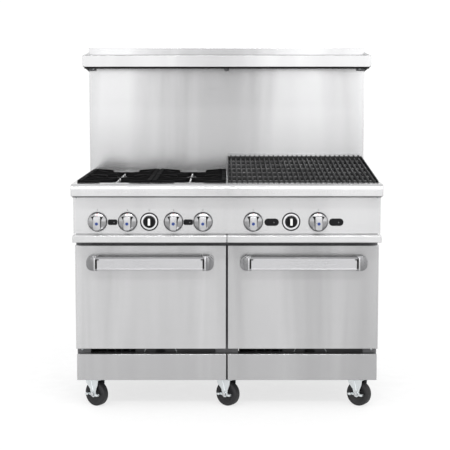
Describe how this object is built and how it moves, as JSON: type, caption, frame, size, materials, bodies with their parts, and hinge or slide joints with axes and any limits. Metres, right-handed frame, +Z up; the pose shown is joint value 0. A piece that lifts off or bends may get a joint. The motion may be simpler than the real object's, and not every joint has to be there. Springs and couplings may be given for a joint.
{
  "type": "commercial gas range",
  "caption": "Stainless gas range with open burners beside a charbroiler, drop-down oven doors, crumb trays, a riser with a high shelf and swivel casters.",
  "frame": {"origin": "on the floor under the centre of the range's overall width and depth", "axes": "+X to the user's right, +Y to the back, +Z up"},
  "size_m": [1.2192, 0.826, 1.462],
  "materials": {
    "stainless": "brushed",
    "galvanised": "satin",
    "baffle_grey": "matte",
    "enamel": "gloss porcelain enamel",
    "chrome": "polished",
    "black_plastic": "gloss",
    "black_pipe": "satin",
    "brass": "satin",
    "zinc": "zinc plated",
    "cast_iron": "matte",
    "black_steel": "matte heat resistant",
    "rubber": "matte"
  },
  "bodies": {
    "range_body": {"side_panels": "stainless", "control_panel": "stainless", "front_rail": "stainless", "cooktop_frame": "stainless", "riser_panels": "stainless", "high_shelf": "stainless", "kick_plates": "stainless", "back_panel": "galvanised", "base_frame": "galvanised", "chassis_frame": "galvanised", "oven_burners": "galvanised", "vent_baffles": "baffle_grey", "oven_liners": "enamel", "oven_floor_plates": "enamel", "oven_racks": "chrome", "thermostat_bezels": "chrome", "gas_manifold": "black_pipe", "gas_valves": "brass", "panel_screws": "zinc", "caster_plates": "zinc", "open_burners": "cast_iron", "broiler_burners": "cast_iron", "broiler_radiants": "cast_iron", "broiler_firebox": "black_steel"},
    "burner_knob_1": {"burner_knob_1": "chrome"},
    "burner_knob_2": {"burner_knob_2": "chrome"},
    "burner_knob_3": {"burner_knob_3": "chrome"},
    "burner_knob_4": {"burner_knob_4": "chrome"},
    "broiler_knob_1": {"broiler_knob_1": "chrome"},
    "broiler_knob_2": {"broiler_knob_2": "chrome"},
    "thermostat_knob_left": {"thermostat_knob_left": "black_plastic"},
    "thermostat_knob_right": {"thermostat_knob_right": "black_plastic"},
    "oven_door_left": {"door_skin_left": "stainless", "door_liner_left": "galvanised", "door_handle_left": "stainless"},
    "oven_door_right": {"door_skin_right": "stainless", "door_liner_right": "galvanised", "door_handle_right": "stainless"},
    "crumb_tray_left": {"crumb_tray_left": "stainless"},
    "crumb_tray_right": {"crumb_tray_right": "stainless"},
    "top_grate_front_left": {"top_grate_front_left": "cast_iron"},
    "top_grate_rear_left": {"top_grate_rear_left": "cast_iron"},
    "top_grate_front_right": {"top_grate_front_right": "cast_iron"},
    "top_grate_rear_right": {"top_grate_rear_right": "cast_iron"},
    "broiler_grates": {"broiler_grates": "cast_iron"},
    "caster_front_left": {"caster_fork_front_left": "zinc"},
    "caster_front_left_wheel": {"caster_wheel_front_left": "rubber"},
    "caster_front_left_brake": {"caster_brake_front_left": "zinc"},
    "caster_front_centre": {"caster_fork_front_centre": "zinc"},
    "caster_front_centre_wheel": {"caster_wheel_front_centre": "rubber"},
    "caster_front_centre_brake": {"caster_brake_front_centre": "zinc"},
    "caster_front_right": {"caster_fork_front_right": "zinc"},
    "caster_front_right_wheel": {"caster_wheel_front_right": "rubber"},
    "caster_front_right_brake": {"caster_brake_front_right": "zinc"},
    "caster_rear_left": {"caster_fork_rear_left": "zinc"},
    "caster_rear_left_wheel": {"caster_wheel_rear_left": "rubber"},
    "caster_rear_centre": {"caster_fork_rear_centre": "zinc"},
    "caster_rear_centre_wheel": {"caster_wheel_rear_centre": "rubber"},
    "caster_rear_right": {"caster_fork_rear_right": "zinc"},
    "caster_rear_right_wheel": {"caster_wheel_rear_right": "rubber"}
  },
  "joints": [
    {"name": "burner_knob_1_turn", "type": "hinge", "parent": "range_body", "child": "burner_knob_1", "pos_m": [-0.51194, -0.363, 0.766], "axis": [0, -1, 0], "range_deg": [0, 90]},
    {"name": "burner_knob_2_turn", "type": "hinge", "parent": "range_body", "child": "burner_knob_2", "pos_m": [-0.39277, -0.363, 0.766], "axis": [0, -1, 0], "range_deg": [0, 90]},
    {"name": "burner_knob_3_turn", "type": "hinge", "parent": "range_body", "child": "burner_knob_3", "pos_m": [-0.21098, -0.363, 0.766], "axis": [0, -1, 0], "range_deg": [0, 90]},
    {"name": "burner_knob_4_turn", "type": "hinge", "parent": "range_body", "child": "burner_knob_4", "pos_m": [-0.09485, -0.363, 0.766], "axis": [0, -1, 0], "range_deg": [0, 90]},
    {"name": "broiler_knob_1_turn", "type": "hinge", "parent": "range_body", "child": "broiler_knob_1", "pos_m": [0.10397, -0.363, 0.766], "axis": [0, -1, 0], "range_deg": [0, 90]},
    {"name": "broiler_knob_2_turn", "type": "hinge", "parent": "range_body", "child": "broiler_knob_2", "pos_m": [0.36115, -0.363, 0.766], "axis": [0, -1, 0], "range_deg": [0, 90]},
    {"name": "thermostat_knob_left_turn", "type": "hinge", "parent": "range_body", "child": "thermostat_knob_left", "pos_m": [-0.30704, -0.363, 0.766], "axis": [0, -1, 0], "range_deg": [0, 300]},
    {"name": "thermostat_knob_right_turn", "type": "hinge", "parent": "range_body", "child": "thermostat_knob_right", "pos_m": [0.25414, -0.363, 0.766], "axis": [0, -1, 0], "range_deg": [0, 300]},
    {"name": "oven_door_left_hinge", "type": "hinge", "parent": "range_body", "child": "oven_door_left", "pos_m": [-0.305, -0.289, 0.258], "axis": [1, 0, 0], "range_deg": [0, 88]},
    {"name": "oven_door_right_hinge", "type": "hinge", "parent": "range_body", "child": "oven_door_right", "pos_m": [0.305, -0.289, 0.258], "axis": [1, 0, 0], "range_deg": [0, 88]},
    {"name": "crumb_tray_left_slide", "type": "slide", "parent": "range_body", "child": "crumb_tray_left", "axis": [0, -1, 0], "range_m": [0, 0.45]},
    {"name": "crumb_tray_right_slide", "type": "slide", "parent": "range_body", "child": "crumb_tray_right", "axis": [0, -1, 0], "range_m": [0, 0.45]},
    {"name": "top_grate_front_left_lift", "type": "slide", "parent": "range_body", "child": "top_grate_front_left", "axis": [0, 0, 1], "range_m": [0, 0.15]},
    {"name": "top_grate_rear_left_lift", "type": "slide", "parent": "range_body", "child": "top_grate_rear_left", "axis": [0, 0, 1], "range_m": [0, 0.15]},
    {"name": "top_grate_front_right_lift", "type": "slide", "parent": "range_body", "child": "top_grate_front_right", "axis": [0, 0, 1], "range_m": [0, 0.15]},
    {"name": "top_grate_rear_right_lift", "type": "slide", "parent": "range_body", "child": "top_grate_rear_right", "axis": [0, 0, 1], "range_m": [0, 0.15]},
    {"name": "broiler_grates_lift", "type": "slide", "parent": "range_body", "child": "broiler_grates", "axis": [0, 0, 1], "range_m": [0, 0.15]},
    {"name": "caster_front_left_swivel", "type": "hinge", "parent": "range_body", "child": "caster_front_left", "pos_m": [-0.546, -0.248, 0.112], "axis": [0, 0, 1], "continuous": true},
    {"name": "caster_front_left_roll", "type": "hinge", "parent": "caster_front_left", "child": "caster_front_left_wheel", "pos_m": [-0.53162, -0.25883, 0.0508], "axis": [0.6018, 0.7986, 0], "continuous": true},
    {"name": "caster_front_left_brake_rock", "type": "hinge", "parent": "caster_front_left", "child": "caster_front_left_brake", "pos_m": [-0.53162, -0.25883, 0.0508], "axis": [0.6018, 0.7986, 0], "range_deg": [0, 15]},
    {"name": "caster_front_centre_swivel", "type": "hinge", "parent": "range_body", "child": "caster_front_centre", "pos_m": [-0.01, -0.248, 0.112], "axis": [0, 0, 1], "continuous": true},
    {"name": "caster_front_centre_roll", "type": "hinge", "parent": "caster_front_centre", "child": "caster_front_centre_wheel", "pos_m": [0.00438, -0.25883, 0.0508], "axis": [0.6018, 0.7986, 0], "continuous": true},
    {"name": "caster_front_centre_brake_rock", "type": "hinge", "parent": "caster_front_centre", "child": "caster_front_centre_brake", "pos_m": [0.00438, -0.25883, 0.0508], "axis": [0.6018, 0.7986, 0], "range_deg": [0, 15]},
    {"name": "caster_front_right_swivel", "type": "hinge", "parent": "range_body", "child": "caster_front_right", "pos_m": [0.526, -0.248, 0.112], "axis": [0, 0, 1], "continuous": true},
    {"name": "caster_front_right_roll", "type": "hinge", "parent": "caster_front_right", "child": "caster_front_right_wheel", "pos_m": [0.54038, -0.25883, 0.0508], "axis": [0.6018, 0.7986, 0], "continuous": true},
    {"name": "caster_front_right_brake_rock", "type": "hinge", "parent": "caster_front_right", "child": "caster_front_right_brake", "pos_m": [0.54038, -0.25883, 0.0508], "axis": [0.6018, 0.7986, 0], "range_deg": [0, 15]},
    {"name": "caster_rear_left_swivel", "type": "hinge", "parent": "range_body", "child": "caster_rear_left", "pos_m": [-0.546, 0.341, 0.112], "axis": [0, 0, 1], "continuous": true},
    {"name": "caster_rear_left_roll", "type": "hinge", "parent": "caster_rear_left", "child": "caster_rear_left_wheel", "pos_m": [-0.53162, 0.33017, 0.0508], "axis": [0.6018, 0.7986, 0], "continuous": true},
    {"name": "caster_rear_centre_swivel", "type": "hinge", "parent": "range_body", "child": "caster_rear_centre", "pos_m": [-0.01, 0.341, 0.112], "axis": [0, 0, 1], "continuous": true},
    {"name": "caster_rear_centre_roll", "type": "hinge", "parent": "caster_rear_centre", "child": "caster_rear_centre_wheel", "pos_m": [0.00438, 0.33017, 0.0508], "axis": [0.6018, 0.7986, 0], "continuous": true},
    {"name": "caster_rear_right_swivel", "type": "hinge", "parent": "range_body", "child": "caster_rear_right", "pos_m": [0.526, 0.341, 0.112], "axis": [0, 0, 1], "continuous": true},
    {"name": "caster_rear_right_roll", "type": "hinge", "parent": "caster_rear_right", "child": "caster_rear_right_wheel", "pos_m": [0.54038, 0.33017, 0.0508], "axis": [0.6018, 0.7986, 0], "continuous": true}
  ]
}
